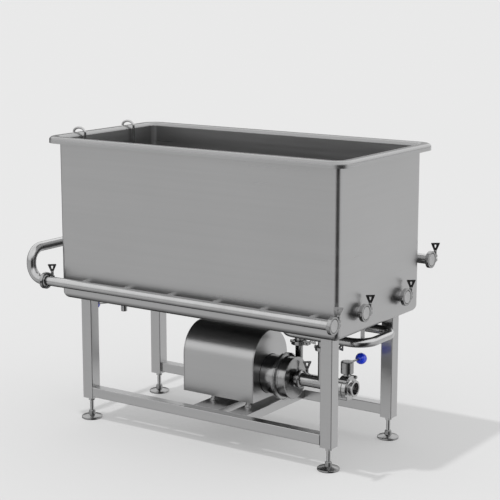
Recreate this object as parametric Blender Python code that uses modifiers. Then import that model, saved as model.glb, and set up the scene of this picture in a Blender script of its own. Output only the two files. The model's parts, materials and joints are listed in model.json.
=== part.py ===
"""Open wash tank of stainless steel on a leg frame, with a circulation pump under it.

Metres, +Z up, floor at z = 0, long side along X, front wall towards -Y.
Dimensions are measured from the centre of the four legs; SHIFT moves that
centre so that the whole object's box is centred on the world's Z axis.
"""

import math

import bmesh
import bpy
from mathutils import Matrix, Vector

# ---------------------------------------------------------------- dimensions
SHIFT = (0.0446, -0.00275, 0.0)

GAP = 0.0003

WALL_X, WALL_Y = 0.645, 0.305      # half length and half width of the basin
WALL_R = 0.025                     # its upright corners
SHEET = 0.003
FLOOR_Z = 0.508                    # underside of the basin
RIM_Z = 1.159
RIM_OUT, RIM_SKIRT, RIM_R = 0.043, 0.025, 0.014
BOTTOM_R = 0.028

LEG_X, LEG_Y, LEG_S, LEG_Z = 0.5654, 0.2243, 0.050, 0.088
RAIL_Z0, RAIL_Z1, RAIL_W = 0.0960, 0.1366, 0.040
BARS = (("motor_bar_left", -0.061, 0.060), ("motor_bar_right", 0.108, 0.187))
PAD_R, SPINDLE_R = 0.042, 0.008

PUMP_Z = 0.250
SHROUD_R, SHROUD_Z, SHROUD_BOTTOM = 0.120, 0.304, 0.156
SHROUD_X0, SHROUD_X1 = -0.174, 0.160
STUDS = (-0.036, 0.129)

DRAIN_X, DRAIN_R, DRAIN_Z = 0.407, 0.0254, 0.388
VALVE_X = 0.508
KNOB_R = 0.0222

HEADER_R = 0.019
FRONT_Y, FRONT_Z, FRONT_X0, FRONT_X1 = -0.352, 0.582, -0.683, 0.6607
REAR_Y, REAR_Z, REAR_X1 = 0.352, 0.703, 0.674
BEND_X, BEND_R = -0.7584, 0.057
JETS = [-0.520 + 0.212 * k for k in range(6)]
JET_BORE = 0.0019                   # half width of each jet's hole through the wall

LOOP_R, LOOP_Z, RISER_X, RISER_Y = 0.0175, 0.447, 0.252, 0.065
LOOP_FRONT_Y, LOOP_X1, LOOP_REAR_Y, FEED_X = -0.065, 0.6235, 0.171, 0.220

NOZZLE_Y, NOZZLE_Z, NOZZLE_X1 = 0.155, 0.592, 0.676

SMALL_X, SMALL_Y, SMALL_R, SMALL_Z = -0.490, -0.100, 0.0125, 0.433
SMALL_STEM_Z = 0.477
SMALL_KNOB = (-0.6216, -0.127, 0.4515)

HOOK_X, HOOK_Y, HOOK_R, HOOK_BOTTOM = -0.6315, 0.155, 0.005, 0.560

# ------------------------------------------------------------------ a clean start
for old in list(bpy.data.objects):
    bpy.data.objects.remove(old, do_unlink=True)

PARTS = bpy.data.collections.new("wash_tank")
TOOLS = bpy.data.collections.new("wash_tank_cutters")
bpy.context.scene.collection.children.link(PARTS)
bpy.context.scene.collection.children.link(TOOLS)
TOOLS.hide_render = True

FINISH = {  # colour, roughness, metallic
    "satin": ((0.55, 0.55, 0.55), 0.38, 1.0),
    "tube": ((0.62, 0.62, 0.62), 0.22, 1.0),
    "cast": ((0.48, 0.48, 0.48), 0.34, 1.0),
    "dark": ((0.05, 0.05, 0.055), 0.45, 0.0),
    "blue": ((0.012, 0.035, 0.42), 0.12, 0.0),
}
TO_X = Matrix.Rotation(math.radians(90), 4, "Y")     # z -> x
TO_Y = Matrix.Rotation(math.radians(-90), 4, "X")    # z -> y


def put(name, mesh, finish=None, at=(0, 0, 0), smooth=True):
    """An object from a mesh: a piece when it has a finish, otherwise a helper."""
    obj = bpy.data.objects.new(name, mesh)
    obj.location = at
    if finish:
        PARTS.objects.link(obj)
        colour, rough, metal = FINISH[finish]
        mat = bpy.data.materials.new(name + "_material")
        mat.use_nodes = True
        shader = mat.node_tree.nodes["Principled BSDF"]
        shader.inputs["Base Color"].default_value = (*colour, 1)
        shader.inputs["Roughness"].default_value = rough
        shader.inputs["Metallic"].default_value = metal
        mesh.materials.append(mat)
    else:
        TOOLS.objects.link(obj)
        obj.hide_render = True
        obj.display_type = "WIRE"
    if smooth:
        mesh.shade_smooth()
        mesh.set_sharp_from_angle(angle=math.radians(32))
    return obj


def to_mesh(name, bm, turn=None):
    bmesh.ops.remove_doubles(bm, verts=bm.verts, dist=1e-6)
    bmesh.ops.recalc_face_normals(bm, faces=bm.faces)
    if turn is not None:
        bm.transform(turn)
    mesh = bpy.data.meshes.new(name)
    bm.to_mesh(mesh)
    bm.free()
    return mesh


def add_lathe(bm, profile, seg, closed=False, turn=None, phase=0.0):
    """Spins (radius, height) points about z. A closed profile gives a ring."""
    points = [bm.verts.new((r, 0, z)) for r, z in profile]
    pairs = list(zip(points, points[1:])) + ([(points[-1], points[0])] if closed else [])
    edges = [bm.edges.new(pair) for pair in pairs if pair[0].co.x or pair[1].co.x]
    before = set(bm.verts) - set(points)
    if phase:
        bmesh.ops.rotate(bm, verts=points, cent=(0, 0, 0), matrix=Matrix.Rotation(phase, 3, "Z"))
    bmesh.ops.spin(bm, geom=points + edges, axis=(0, 0, 1), cent=(0, 0, 0), angle=math.tau, steps=seg, use_merge=True)
    made = [v for v in bm.verts if v not in before]
    if turn is not None:
        bmesh.ops.transform(bm, matrix=turn, verts=made)
    return made


def lathe(name, profile, seg, finish=None, at=(0, 0, 0), turn=None, closed=False, phase=0.0):
    bm = bmesh.new()
    add_lathe(bm, profile, seg, closed, turn, phase)
    return put(name, to_mesh(name, bm), finish, at)


def rod_profile(r, z0, z1):
    return [(0, z0), (r, z0), (r, z1), (0, z1)]


def ring_profile(r0, r1, z0, z1, ease=0.0):
    if ease:
        return [(r0, z0), (r1 - ease, z0), (r1, z0 + ease), (r1, z1 - ease), (r1 - ease, z1), (r0, z1)]
    return [(r0, z0), (r1, z0), (r1, z1), (r0, z1)]


def rod(name, r, z0, z1, seg=12, finish=None, at=(0, 0, 0), turn=None, phase=0.0):
    return lathe(name, rod_profile(r, z0, z1), seg, finish, at, turn, phase=phase)


def add_box(bm, x0, x1, y0, y1, z0, z1):
    centre = Matrix.Translation(((x0 + x1) / 2, (y0 + y1) / 2, (z0 + z1) / 2))
    size = Matrix.Diagonal((x1 - x0, y1 - y0, z1 - z0, 1))
    bmesh.ops.create_cube(bm, size=1, matrix=centre @ size)


def box(name, x0, x1, y0, y1, z0, z1, finish=None):
    bm = bmesh.new()
    add_box(bm, x0, x1, y0, y1, z0, z1)
    return put(name, to_mesh(name, bm), finish, smooth=False)


def prism(name, outline, z0, z1, finish=None, at=(0, 0, 0), turn=None, smooth=False):
    """A flat outline pushed up from z0 to z1, then turned."""
    bm = bmesh.new()
    face = bm.faces.new([bm.verts.new((x, y, z0)) for x, y in outline])
    top = bmesh.ops.extrude_face_region(bm, geom=[face])["geom"]
    bmesh.ops.translate(bm, verts=[g for g in top if isinstance(g, bmesh.types.BMVert)], vec=(0, 0, z1 - z0))
    return put(name, to_mesh(name, bm, turn), finish, at, smooth)


def rounded(hx, hy, r, steps):
    """Corner-rounded rectangle, counter-clockwise, steps per corner."""
    points = []
    for cx, cy, start in ((hx - r, hy - r, 0), (r - hx, hy - r, 90), (r - hx, r - hy, 180), (hx - r, r - hy, 270)):
        for k in range(steps + 1):
            a = math.radians(start + 90 * k / steps)
            points.append((cx + r * math.cos(a), cy + r * math.sin(a)))
    return points


def join(target, *helpers, how="UNION"):
    for helper in helpers:
        step = target.modifiers.new(helper.name, "BOOLEAN")
        step.operation = how
        step.solver = "EXACT"
        step.object = helper
    return target


def cut(target, *helpers):
    return join(target, *helpers, how="DIFFERENCE")


def bundle(*helpers):
    """One helper from several that stand apart, so that one Boolean takes them together."""
    bm = bmesh.new()
    for helper in helpers:
        before = set(bm.verts)
        bm.from_mesh(helper.data)
        bmesh.ops.translate(bm, verts=[v for v in bm.verts if v not in before], vec=helper.location)
        bpy.data.objects.remove(helper, do_unlink=True)
    mesh = bpy.data.meshes.new("bundle")
    bm.to_mesh(mesh)
    bm.free()
    return put("bundle", mesh)


def path_of(corners, radii, steps=5):
    """Straight runs with arcs of these radii at the inner corners."""
    corners = [Vector(c) for c in corners]
    points = [corners[0]]
    for before, corner, after, radius in zip(corners, corners[1:], corners[2:], radii):
        a, b = (before - corner).normalized(), (after - corner).normalized()
        half = a.angle(b) / 2
        centre = corner + (a + b).normalized() * (radius / math.sin(half))
        start = corner + a * (radius / math.tan(half)) - centre
        end = corner + b * (radius / math.tan(half)) - centre
        axis, sweep = start.cross(end), start.angle(end)
        for k in range(steps + 1):
            points.append(centre + Matrix.Rotation(sweep * k / steps, 3, axis) @ start)
    return points + [corners[-1]]


def pipe(name, points, r, finish=None, wall=None, at=(0, 0, 0), ring=2):
    """A bevelled wire made into a mesh: hollow and open-ended with a wall, otherwise solid."""
    curve = bpy.data.curves.new(name + "_wire", "CURVE")
    curve.dimensions = "3D"
    curve.bevel_depth = r
    curve.bevel_resolution = ring
    curve.use_fill_caps = wall is None
    spline = curve.splines.new("POLY")
    spline.points.add(len(points) - 1)
    for node, p in zip(spline.points, points):
        node.co = (*(Vector(p) - Vector(at)), 1)
    wire = bpy.data.objects.new(name + "_wire", curve)
    TOOLS.objects.link(wire)
    bpy.context.view_layer.update()
    made = bpy.data.meshes.new_from_object(wire.evaluated_get(bpy.context.evaluated_depsgraph_get()))
    bpy.data.objects.remove(wire, do_unlink=True)
    bm = bmesh.new()
    bm.from_mesh(made)
    bmesh.ops.remove_doubles(bm, verts=bm.verts, dist=1e-6)
    if wall is None:
        bmesh.ops.recalc_face_normals(bm, faces=bm.faces)
    bm.to_mesh(made)
    bm.free()
    made.name = name
    made.materials.clear()
    obj = put(name, made, finish, at)
    if wall:
        skin = obj.modifiers.new("wall", "SOLIDIFY")
        skin.thickness = wall
        skin.offset = -1
        skin.use_rim = True
    return obj


# ------------------------------------------------------------------------ basin
def arc(cx, cz, r, a0, a1, steps):
    for k in range(steps + 1):
        a = math.radians(a0 + (a1 - a0) * k / steps)
        yield cx + r * math.cos(a), cz + r * math.sin(a)


def basin_section():
    """(outward offset from the wall, height) down the outside and back up the inside."""
    t, b, r = SHEET, BOTTOM_R, RIM_R
    zc = RIM_Z - r
    section = list(arc(-b, FLOOR_Z + b, b, -90, 0, 4))
    section += list(arc(r - t, zc, r - t, 180, 90, 2))
    section += list(arc(RIM_OUT - r, zc, r - t, 90, 0, 2))
    section += [(RIM_OUT - t, RIM_Z - RIM_SKIRT), (RIM_OUT, RIM_Z - RIM_SKIRT)]
    section += list(arc(RIM_OUT - r, zc, r, 0, 90, 3))
    section += list(arc(r - t, zc, r, 90, 180, 3))
    section += list(arc(-b, FLOOR_Z + b, b - t, 0, -90, 4))
    return section


bm = bmesh.new()
rings = []
for offset, z in basin_section():
    outline = rounded(WALL_X + offset, WALL_Y + offset, max(WALL_R + offset, 0.003), 4)
    rings.append([bm.verts.new((x, y, z)) for x, y in outline])
for low, high in zip(rings, rings[1:]):
    for k in range(len(low)):
        n = (k + 1) % len(low)
        bm.faces.new((low[k], low[n], high[n], high[k]))
bm.faces.new(rings[0])
bm.faces.new(rings[-1])
basin = put("tank_basin", to_mesh("tank_basin", bm), "satin")

drain_z = DRAIN_Z + GAP / 2
nozzle_end = NOZZLE_X1 - 0.0065 - GAP
lathe("drain_neck", [(DRAIN_R - 0.002, drain_z), (0.031, drain_z), (0.031, drain_z + 0.003), (DRAIN_R, drain_z + 0.006),
                     (DRAIN_R, FLOOR_Z - GAP), (DRAIN_R - 0.002, FLOOR_Z - GAP)], 20, "satin", (DRAIN_X, 0, 0), closed=True)
necks = []
bores = [rod("drain_bore", DRAIN_R - 0.002, 0.45, 0.55, 20, at=(DRAIN_X, 0, 0)),
         rod("small_bore", 0.009, 0.45, 0.55, 12, at=(SMALL_X, SMALL_Y, 0))]
for side in (-1, 1):
    at = (0, side * NOZZLE_Y, NOZZLE_Z)
    necks.append(lathe("nozzle_neck", [(0, WALL_X - 0.0015), (HEADER_R, WALL_X - 0.0015), (HEADER_R, nozzle_end - 0.006),
                                       (0.0252, nozzle_end - 0.003), (0.0252, nozzle_end), (0, nozzle_end)], 20,
                       at=at, turn=TO_X))
    bores.append(rod("nozzle_bore", HEADER_R - 0.0017, 0.60, 0.70, 20, at=at, turn=TO_X))
bores += [rod("jet_hole", JET_BORE, side * WALL_Y - 0.01, side * WALL_Y + 0.01, 6, at=(x, 0, z), turn=TO_Y)
          for x in JETS for side, z in ((-1, FRONT_Z), (1, REAR_Z))]
join(basin, bundle(*necks))
cut(basin, bundle(*bores))

# ------------------------------------------------------------------------ frame
for sx, across in ((-1, "left"), (1, "right")):
    for sy, depth in ((-1, "front"), (1, "rear")):
        at = (sx * LEG_X, sy * LEG_Y, 0)
        key = depth + "_" + across
        h = LEG_S / 2
        leg = prism("leg_" + key, rounded(h, h, 0.004, 2), LEG_Z, FLOOR_Z - GAP, "satin", at)
        cut(leg, prism("leg_hollow", rounded(h - 0.002, h - 0.002, 0.002, 1), LEG_Z + 0.006, FLOOR_Z + 0.02, at=at),
            rod("leg_hole", SPINDLE_R + GAP, LEG_Z - 0.01, LEG_Z + 0.02, 12, at=at))
        spindle = rod("foot_spindle_" + key, SPINDLE_R, 0.0125, 0.132, 12, "tube", at)
        join(spindle, rod("foot_nut", 0.0135, LEG_Z - 0.0125, LEG_Z - GAP, 6, at=at))
        pad = lathe("foot_pad_" + key, [(0, 0), (PAD_R - 0.002, 0), (PAD_R, 0.002), (PAD_R, 0.0075),
                                        (PAD_R - 0.0025, 0.0095), (0.0150, 0.0155), (0.0125, 0.030), (0.0110, 0.0325),
                                        (SPINDLE_R + GAP, 0.0325), (SPINDLE_R + GAP, 0.0122), (0, 0.0122)],
                    18, "tube", at)

inner = LEG_X - LEG_S / 2 - GAP
for sy, depth in ((-1, "front"), (1, "rear")):
    yc, zc = sy * (LEG_Y + LEG_S / 2 - RAIL_W / 2), (RAIL_Z0 + RAIL_Z1) / 2
    hy, hz = RAIL_W / 2, (RAIL_Z1 - RAIL_Z0) / 2
    rail = prism("rail_" + depth, rounded(hz, hy, 0.003, 2), -inner, inner, "satin", (0, yc, zc), TO_X)
    cut(rail, prism("rail_hollow", rounded(hz - 0.002, hy - 0.002, 0.001, 1), -0.7, 0.7, at=(0, yc, zc), turn=TO_X))

reach = LEG_Y + LEG_S / 2 - RAIL_W - GAP
for name, x0, x1 in BARS:
    bar = box(name, x0, x1, -reach, reach, RAIL_Z1 - 0.035, RAIL_Z1, "satin")
    cut(bar, box("bar_hollow", x0 + 0.004, x1 - 0.004, -0.3, 0.3, 0, RAIL_Z1 - 0.004))


# ------------------------------------------------------------- clamps, caps, nuts
ALONG_X = Matrix.Identity(4)
ALONG_Z = Matrix(((0, 1, 0, 0), (0, 0, 1, 0), (1, 0, 0, 0), (0, 0, 0, 1)))  # ring about z, ears at +x, bolt along y


def clamp(name, at, r_flange, r_ring, reach, ways=ALONG_X, width=0.014):
    """A two-eared clamp ring about its local x axis, with the bolt that pulls its ears together."""
    bm = bmesh.new()
    add_lathe(bm, ring_profile(r_flange + 2 * GAP, r_ring, -width / 2, width / 2), 20, True, TO_X)
    ring = put(name, to_mesh(name, bm, ways), "cast", at)
    near = r_flange + 0.0012
    bm = bmesh.new()
    add_box(bm, -0.006, 0.006, near, reach + 0.008, 0.002, 0.0125)
    add_box(bm, -0.006, 0.006, near, reach + 0.008, -0.0125, -0.002)
    add_box(bm, -0.0055, 0.0055, -r_ring - 0.0075, 0.002 - r_ring, -0.005, 0.005)
    ears = put("clamp_ears", to_mesh("clamp_ears", bm, ways), at=at, smooth=False)
    bm = bmesh.new()
    add_lathe(bm, [(0, -0.0165), (0.005, -0.0165), (0.005, -0.012), (0.003, -0.0119), (0.003, 0.0265), (0, 0.0265)], 8)
    bmesh.ops.translate(bm, verts=bm.verts, vec=(0, reach, 0))
    bolt = put("clamp_bolt", to_mesh("clamp_bolt", bm, ways), at=at)
    return join(ring, ears, bolt)


def wing_nut(name, at, reach, ways=ALONG_X, turn=0.0):
    """A flat fan on a hub, turned about the clamp's bolt. The origin is on the bolt's axis."""
    pivot = Vector(at) + ways.to_3x3() @ Vector((0, reach, 0))
    ways = ways @ Matrix.Rotation(math.radians(turn), 4, "Z")
    bm = bmesh.new()
    add_lathe(bm, [(0.0033, 0.0128), (0.0060, 0.0128), (0.0060, 0.0265), (0.0045, 0.0300), (0, 0.0300), (0, 0.0270),
                   (0.0033, 0.0270)], 12, closed=True)
    hub = put(name, to_mesh(name, bm, ways), "cast", pivot)
    fan = [(-0.0045, 0.0275), (0.0045, 0.0275), (0.0172, 0.0570), (0.0160, 0.0600), (-0.0160, 0.0600), (-0.0172, 0.0570)]
    bm = bmesh.new()
    face = bm.faces.new([bm.verts.new((x, -0.0016, z)) for x, z in fan])
    top = bmesh.ops.extrude_face_region(bm, geom=[face])["geom"]
    bmesh.ops.translate(bm, verts=[g for g in top if isinstance(g, bmesh.types.BMVert)], vec=(0, 0.0032, 0))
    plate = put("fan_plate", to_mesh("fan_plate", bm, ways), at=pivot, smooth=False)
    window = [(-0.0018, 0.0410), (0.0018, 0.0410), (0.0042, 0.0525), (-0.0042, 0.0525)]
    bm = bmesh.new()
    face = bm.faces.new([bm.verts.new((x, -0.006, z)) for x, z in window])
    top = bmesh.ops.extrude_face_region(bm, geom=[face])["geom"]
    bmesh.ops.translate(bm, verts=[g for g in top if isinstance(g, bmesh.types.BMVert)], vec=(0, 0.012, 0))
    hole = put("fan_window", to_mesh("fan_window", bm, ways), at=pivot, smooth=False)
    join(hub, plate)
    return cut(hub, hole)


def blank_cap(name, x1, y, z):
    """A blind cap whose outer face is at x1."""
    lathe(name, [(0, -0.0065), (0.0252, -0.0065), (0.0252, -0.0035), (0.0235, -0.0020), (0.0235, 0), (0, 0)], 24,
          "tube", (x1, y, z), TO_X)


SMALL_RING, SMALL_REACH = (0.0252, 0.033), 0.038
LARGE_RING, LARGE_REACH = (0.031, 0.0365), 0.0465


def small_clamp(where, at):
    clamp(where + "_clamp", at, *SMALL_RING, SMALL_REACH)
    wing_nut(where + "_wing_nut", at, SMALL_REACH, turn=16.0 if where == "front_cap" else 40.0)


small_clamp("bend", (FRONT_X0, FRONT_Y, FRONT_Z))
small_clamp("front_cap", (FRONT_X1 - 0.0065, FRONT_Y, FRONT_Z))
small_clamp("rear_cap", (REAR_X1 - 0.0065, REAR_Y, REAR_Z))
blank_cap("front_cap", FRONT_X1, FRONT_Y, FRONT_Z)
blank_cap("rear_cap", REAR_X1, REAR_Y, REAR_Z)
for side, where in ((-1, "nozzle_front"), (1, "nozzle_rear")):
    small_clamp(where, (NOZZLE_X1 - 0.0065, side * NOZZLE_Y, NOZZLE_Z))
    blank_cap(where + "_cap", NOZZLE_X1, side * NOZZLE_Y, NOZZLE_Z)

SUCTION_X = 0.3005
clamp("suction_clamp", (SUCTION_X, 0, PUMP_Z), *LARGE_RING, LARGE_REACH)
wing_nut("suction_wing_nut", (SUCTION_X, 0, PUMP_Z), LARGE_REACH, turn=40.0)
clamp("drain_clamp", (DRAIN_X, 0, DRAIN_Z), *LARGE_RING, LARGE_REACH, ALONG_Z)
wing_nut("drain_wing_nut", (DRAIN_X, 0, DRAIN_Z), LARGE_REACH, ALONG_Z)
RISER_CLAMP = 0.3755
clamp("riser_clamp", (RISER_X, RISER_Y, RISER_CLAMP), 0.0252, 0.0315, 0.038, ALONG_Z)
wing_nut("riser_wing_nut", (RISER_X, RISER_Y, RISER_CLAMP), 0.038, ALONG_Z)


# ---------------------------------------------------------------- headers and bend
def ferruled(r, r_flange, z0, z1, low=True, high=True):
    """Profile of a solid pipe from z0 to z1 with a tapered flange on either end."""
    start = [(0, z0), (r_flange, z0), (r_flange, z0 + 0.003), (r, z0 + 0.006)] if low else [(0, z0), (r, z0)]
    finish = [(r, z1 - 0.006), (r_flange, z1 - 0.003), (r_flange, z1), (0, z1)] if high else [(r, z1), (0, z1)]
    return start + finish


front_end = FRONT_X1 - 0.0065 - GAP
front = lathe("front_header", ferruled(HEADER_R, 0.0252, FRONT_X0 + GAP / 2, front_end), 16, "tube",
              (0, FRONT_Y, FRONT_Z), TO_X)
join(front, bundle(*[rod("jet", 0.012, 0.008, -FRONT_Y - WALL_Y - GAP, 10, at=(x, FRONT_Y, FRONT_Z), turn=TO_Y) for x in JETS]))
cut(front, rod("front_bore", HEADER_R - 0.0016, FRONT_X0 - 0.05, front_end + 0.05, 16, at=(0, FRONT_Y, FRONT_Z), turn=TO_X))
cut(front, bundle(*[rod("jet_bore", 0.0088, 0.004, 0.060, 10, at=(x, FRONT_Y, FRONT_Z), turn=TO_Y) for x in JETS]))

rear_end = REAR_X1 - 0.0065 - GAP
rear_start = BEND_X + BEND_R + 0.010
rear = lathe("rear_header", ferruled(HEADER_R, 0.0252, rear_start, rear_end, low=False), 16, "tube",
             (0, REAR_Y, REAR_Z), TO_X)
join(rear, bundle(*[rod("jet", 0.012, 0.008, REAR_Y - WALL_Y - GAP, 10, at=(x, REAR_Y, REAR_Z), turn=TO_Y.inverted()) for x in JETS]))
cut(rear, rod("rear_bore", HEADER_R - 0.0016, -0.8, 0.8, 16, at=(0, REAR_Y, REAR_Z), turn=TO_X))

bend_start = FRONT_X0 - GAP / 2
bend_path = path_of([(bend_start - 0.003, FRONT_Y, FRONT_Z), (BEND_X, FRONT_Y, FRONT_Z), (BEND_X, FRONT_Y, REAR_Z),
                     (BEND_X, REAR_Y, REAR_Z), (rear_start - GAP, REAR_Y, REAR_Z)], [BEND_R] * 3)
bend = pipe("left_bend", bend_path, HEADER_R, "tube", wall=0.0016)
join(bend, lathe("bend_ferrule", ring_profile(HEADER_R - 0.001, 0.0252, -0.0035, 0)[:2] + [(0.0252, 0), (HEADER_R - 0.001, 0)],
                 20, at=(bend_start, FRONT_Y, FRONT_Z), turn=TO_X, closed=True))

# --------------------------------------------------------------- motor and shroud
def d_outline(grow):
    r, steps = SHROUD_R + grow, 20
    points = [(-(SHROUD_BOTTOM - grow), -r), (-(SHROUD_BOTTOM - grow), r)]
    return points + [(-(SHROUD_Z + r * math.sin(math.pi * k / steps)), r * math.cos(math.pi * k / steps)) for k in range(steps + 1)]


shroud = prism("motor_shroud", d_outline(0), SHROUD_X0, SHROUD_X1, "satin", turn=TO_X, smooth=True)
join(shroud, bundle(*[rod("shroud_stud", 0.009, RAIL_Z1 + GAP, SHROUD_BOTTOM + 0.001, 10, at=(x, side * 0.108, 0))
                      for x in STUDS for side in (-1, 1)]))
cut(shroud, prism("shroud_hollow", d_outline(-0.0025), SHROUD_X0 + 0.0025, SHROUD_X1 - 0.0025, turn=TO_X),
    rod("shroud_hole", 0.0785, SHROUD_X1 - 0.01, SHROUD_X1 + 0.01, 28, at=(0, 0, PUMP_Z), turn=TO_X))

motor_foot = SHROUD_BOTTOM + 0.0025 + GAP
motor = rod("pump_motor", 0.080, -0.155, 0.1500, 24, "dark", (0, 0, PUMP_Z), TO_X)
join(motor, box("motor_feet", -0.100, 0.100, -0.065, 0.065, motor_foot, PUMP_Z - 0.060))
cut(motor, rod("motor_bore", 0.0125, 0.080, 0.16, 12, at=(0, 0, PUMP_Z), turn=TO_X))

# --------------------------------------------------------------------------- pump
FLANGE_X = 0.2285
lathe("pump_adapter", [(0.0765, 0.1503), (0.0765, 0.2215), (0.092, 0.2225), (0.092, FLANGE_X), (0.0135, FLANGE_X),
                       (0.0135, 0.2210), (0.062, 0.2210), (0.062, 0.1503)], 24, "cast", (0, 0, PUMP_Z), TO_X, closed=True)
COVER_X = 0.2720
casing = lathe("pump_casing", [(0.092, FLANGE_X + GAP), (0.092, 0.2345), (0.081, 0.2365), (0.080, COVER_X - GAP),
                               (0.074, COVER_X - GAP), (0.074, FLANGE_X + GAP)], 24, "cast", (0, 0, PUMP_Z), TO_X, closed=True)
riser_end = RISER_CLAMP - GAP / 2 - PUMP_Z
join(casing, lathe("riser_neck", [(0, 0.025), (0.0150, 0.025), (0.0150, riser_end - 0.012), (HEADER_R, riser_end - 0.008),
                                  (0.0252, riser_end - 0.003), (0.0252, riser_end), (0, riser_end)], 16,
                   at=(RISER_X, RISER_Y, PUMP_Z)))
cut(casing, rod("riser_bore", 0.0130, 0.010, 0.2, 14, at=(RISER_X, RISER_Y - 0.003, PUMP_Z)))
suction_face = SUCTION_X - GAP / 2
lathe("pump_cover", [(0.0235, COVER_X), (0.080, COVER_X), (0.0825, 0.2735), (0.0825, 0.2775), (0.080, 0.2790), (0.034, 0.2800),
                     (DRAIN_R, 0.2850), (DRAIN_R, suction_face - 0.006), (0.031, suction_face - 0.003),
                     (0.031, suction_face), (0.0235, suction_face)], 22, "cast", (0, 0, PUMP_Z), TO_X, closed=True)
shaft = lathe("pump_impeller", [(0, 0.086), (0.012, 0.086), (0.012, 0.2315), (0.045, 0.2335), (0.045, 0.2375), (0.016, 0.2400),
                                (0.012, 0.2560), (0, 0.2580)], 16, "tube", (0, 0, PUMP_Z), TO_X)
bm = bmesh.new()
for k in range(4):
    a = math.radians(90 * k + 20)
    spread = [((0.010, -0.0015), (0.0445, 0.008), (0.042, 0.010), (0.012, 0.0025))]
    for blade in spread:
        flat = [(x * math.cos(a) - y * math.sin(a), x * math.sin(a) + y * math.cos(a)) for x, y in blade]
        face = bm.faces.new([bm.verts.new((x, y, 0.2360)) for x, y in flat])
        top = bmesh.ops.extrude_face_region(bm, geom=[face])["geom"]
        bmesh.ops.translate(bm, verts=[g for g in top if isinstance(g, bmesh.types.BMVert)], vec=(0, 0, 0.018))
join(shaft, put("impeller_vanes", to_mesh("impeller_vanes", bm, TO_X), at=(0, 0, PUMP_Z), smooth=False))

# ------------------------------------------------------------------- suction tee
tee_start, tee_end = SUCTION_X + GAP / 2, 0.4650
tee = lathe("suction_tee", ferruled(DRAIN_R, 0.031, tee_start, tee_end, high=False), 24, "tube", (0, 0, PUMP_Z), TO_X)
join(tee, lathe("tee_branch", ferruled(DRAIN_R - 0.0008, 0.031, 0.002, DRAIN_Z - GAP / 2 - PUMP_Z, low=False), 24,
                at=(DRAIN_X, 0, PUMP_Z), phase=0.06))
cut(tee, rod("tee_bore", DRAIN_R - 0.002, tee_start - 0.02, tee_end + 0.02, 20, at=(0, 0, PUMP_Z), turn=TO_X),
    rod("tee_branch_bore", DRAIN_R - 0.0035, 0.004, 0.16, 18, at=(DRAIN_X, 0, PUMP_Z), phase=0.11))

# -------------------------------------------------------------------- outlet valve
end = 0.5454 - VALVE_X
left = tee_end + GAP - VALVE_X
bore = DRAIN_R - 0.002
body = lathe("valve_body", [(bore, left), (DRAIN_R, left), (DRAIN_R, -0.020), (0.030, -0.017), (0.0465, -0.017), (0.0465, -0.0015),
                            (0.043, -0.0015), (0.043, 0.0015), (0.0465, 0.0015), (0.0465, 0.017), (0.030, 0.017),
                            (DRAIN_R, 0.020), (DRAIN_R, end - 0.006), (0.031, end - 0.003), (0.031, end), (bore, end)],
             20, "tube", (VALVE_X, 0, PUMP_Z), TO_X, closed=True)
bm = bmesh.new()
for sy in (-1, 1):
    for sz in (-1, 1):
        made = add_lathe(bm, rod_profile(0.0065, -0.0205, 0.0205), 6, turn=TO_X)
        bmesh.ops.translate(bm, verts=made, vec=(0, sy * 0.0345, sz * 0.0345))
lugs = put("valve_bolts", to_mesh("valve_bolts", bm), at=(VALVE_X, 0, PUMP_Z))
neck = rod("valve_neck", 0.0125, 0.035, 0.0545, 12, at=(VALVE_X, 0, PUMP_Z))
join(body, lugs, neck)
cut(body, rod("stem_hole", 0.0065, 0.0, 0.08, 12, at=(VALVE_X, 0, PUMP_Z)))
disc = rod("valve_disc", bore - 0.0006, -0.002, 0.002, 24, "tube", (VALVE_X, 0, PUMP_Z), TO_X)
join(disc, rod("valve_stem", 0.006, -0.010, 0.0550, 12, at=(VALVE_X, 0, PUMP_Z)))
KNOB_Y, KNOB_Z = 0.1045, 0.3395
handle = lathe("valve_handle", [(0, 0.3053), (0.0230, 0.3053), (0.0245, 0.3070), (0.0245, 0.3490), (0.0222, 0.3520), (0, 0.3520)],
               20, "cast", (VALVE_X, 0, 0))
aim = Vector((0, KNOB_Y, KNOB_Z - 0.3455))
stop = aim * (1 - (KNOB_R + GAP) / aim.length)
join(handle, pipe("valve_lever", [(VALVE_X, 0.010, 0.3455 + aim.z * 0.1), (VALVE_X, stop.y, 0.3455 + stop.z)], 0.004, ring=1))


def knob(name, at):
    bm = bmesh.new()
    bmesh.ops.create_uvsphere(bm, u_segments=16, v_segments=9, radius=KNOB_R)
    put(name, to_mesh(name, bm), "blue", at)


knob("valve_knob", (VALVE_X, KNOB_Y, KNOB_Z))

# ------------------------------------------------------------------ discharge loop
loop_start = RISER_CLAMP + GAP / 2
loop_path = path_of([(RISER_X, RISER_Y, loop_start + 0.003), (RISER_X, RISER_Y, LOOP_Z), (RISER_X, LOOP_FRONT_Y, LOOP_Z),
                     (LOOP_X1, LOOP_FRONT_Y, LOOP_Z), (LOOP_X1, LOOP_REAR_Y, LOOP_Z), (FEED_X, LOOP_REAR_Y, LOOP_Z),
                     (FEED_X, REAR_Y, LOOP_Z), (FEED_X, REAR_Y, REAR_Z - HEADER_R - GAP)],
                    [0.060, 0.060, 0.070, 0.070, 0.060, 0.060], steps=4)
loop = pipe("discharge_loop", loop_path, LOOP_R, "tube", wall=0.0016, ring=2)
join(loop, lathe("loop_ferrule", [(LOOP_R - 0.001, 0), (0.0252, 0), (0.0252, 0.003), (LOOP_R - 0.001, 0.006)], 20,
                 at=(RISER_X, RISER_Y, loop_start), closed=True))
# A welded strap hangs the loop's right bend from the basin's floor.
box("loop_hanger", 0.592, 0.608, -0.0495, -0.0455, LOOP_Z + LOOP_R + GAP, FLOOR_Z - GAP, "satin")

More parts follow.
